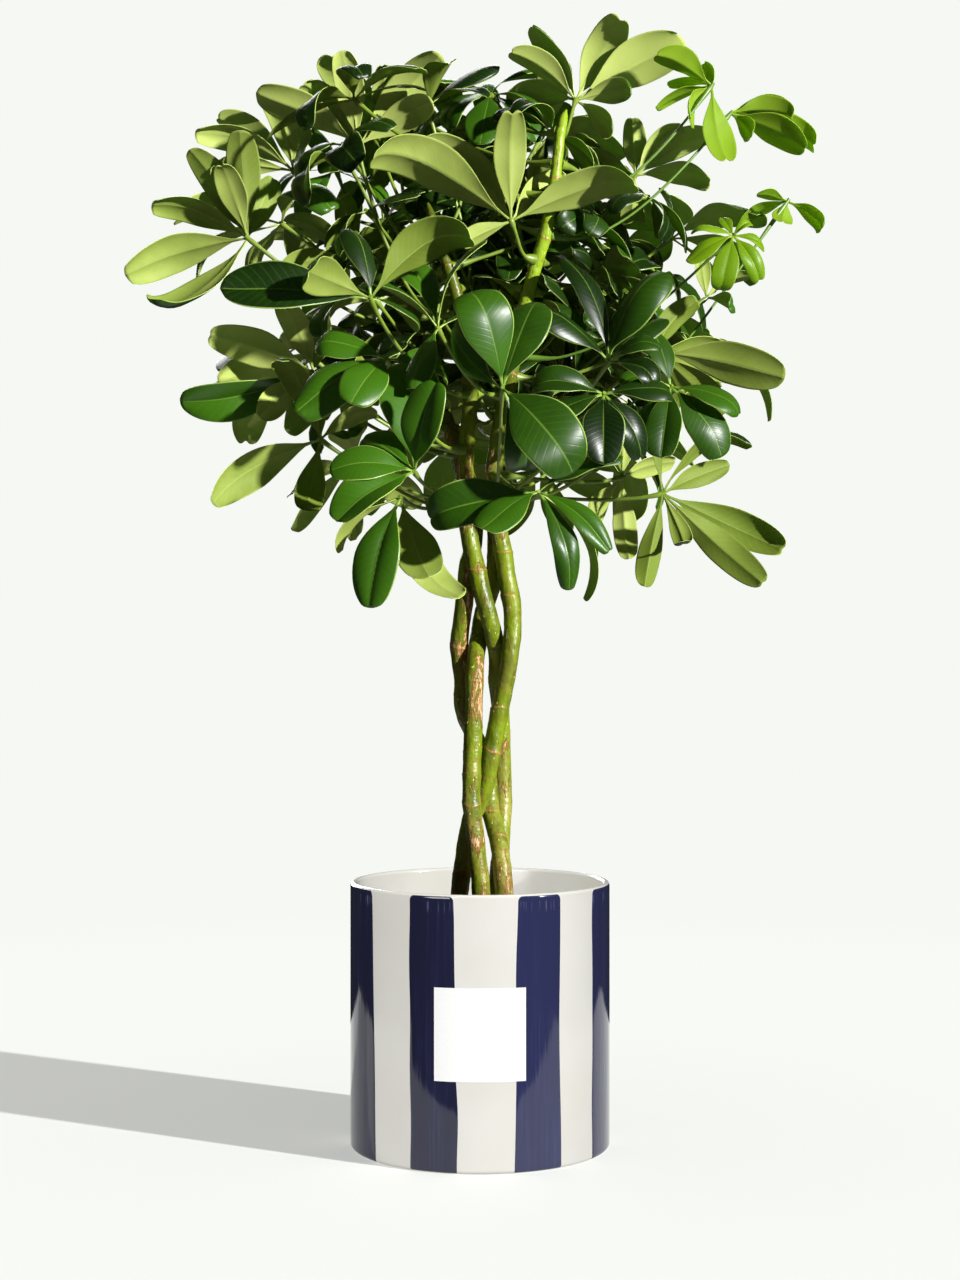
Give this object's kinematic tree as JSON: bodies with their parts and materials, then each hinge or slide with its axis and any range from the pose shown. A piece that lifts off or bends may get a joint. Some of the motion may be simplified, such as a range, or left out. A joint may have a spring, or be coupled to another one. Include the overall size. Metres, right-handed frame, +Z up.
{
  "type": "potted umbrella plant",
  "caption": "Umbrella plant with loosely braided stems and a round crown of compound leaves, in its nursery pot inside a striped glazed cylinder cover pot with a square paper label.",
  "frame": {"origin": "middle of the cover pot's underside, on the surface it stands on", "axes": "+Z up along the pot's axis, -Y towards the front with the label, +X to the right seen from the front"},
  "size_m": [0.5116, 0.4238, 0.827],
  "materials": {
    "glaze": "cream glaze with hand-painted navy vertical stripes, glossy",
    "paper": "smooth white paper, matte, bare",
    "black_plastic": "thin moulded plastic, satin",
    "soil": "potting soil with bark pieces, rough",
    "green_bark": "smooth green bark with ring scars and tan patches",
    "leaf": "leathery leaf, glossy dark green above, matt yellow-green below",
    "young_leaf": "young leaf, bright green, glossy above"
  },
  "bodies": {
    "root": {"cover_pot": "glaze", "label": "paper", "nursery_pot": "black_plastic", "soil": "soil", "stem_1": "green_bark", "stem_2": "green_bark", "stem_3": "green_bark", "stem_4": "green_bark", "leaf_back_high_1": "leaf", "leaf_back_high_2": "leaf", "leaf_back_high_3": "leaf", "leaf_back_high_4": "leaf", "leaf_back_high_5": "leaf", "leaf_back_low_1": "leaf", "leaf_back_low_2": "leaf", "leaf_back_low_3": "leaf", "leaf_back_low_4": "leaf", "leaf_back_middle_1": "leaf", "leaf_back_middle_2": "leaf", "leaf_back_middle_3": "leaf", "leaf_back_middle_4": "leaf", "leaf_back_middle_5": "leaf", "leaf_back_middle_6": "leaf", "leaf_centre": "leaf", "leaf_centre_low": "leaf", "leaf_centre_top": "leaf", "leaf_crown": "leaf", "leaf_dark_top": "leaf", "leaf_front_left": "leaf", "leaf_inner_1": "leaf", "leaf_inner_2": "leaf", "leaf_inner_3": "leaf", "leaf_inner_4": "leaf", "leaf_left_back": "leaf", "leaf_left_low": "leaf", "leaf_left_middle": "leaf", "leaf_left_near": "leaf", "leaf_left_shade": "leaf", "leaf_left_upper": "leaf", "leaf_left_wing": "leaf", "leaf_low_front": "leaf", "leaf_low_hanging": "leaf", "leaf_low_inner": "leaf", "leaf_low_left": "leaf", "leaf_low_right": "leaf", "leaf_right_front": "leaf", "leaf_right_inner": "leaf", "leaf_right_middle": "leaf", "leaf_right_near": "leaf", "leaf_right_small": "leaf", "leaf_right_wing": "leaf", "leaf_top_1": "leaf", "leaf_top_2": "leaf", "leaf_top_3": "leaf", "leaf_upper_left": "leaf", "leaf_young_front": "young_leaf", "leaf_young_right": "young_leaf", "leaf_young_tip": "young_leaf", "leaf_young_top": "young_leaf"}
  },
  "joints": []
}
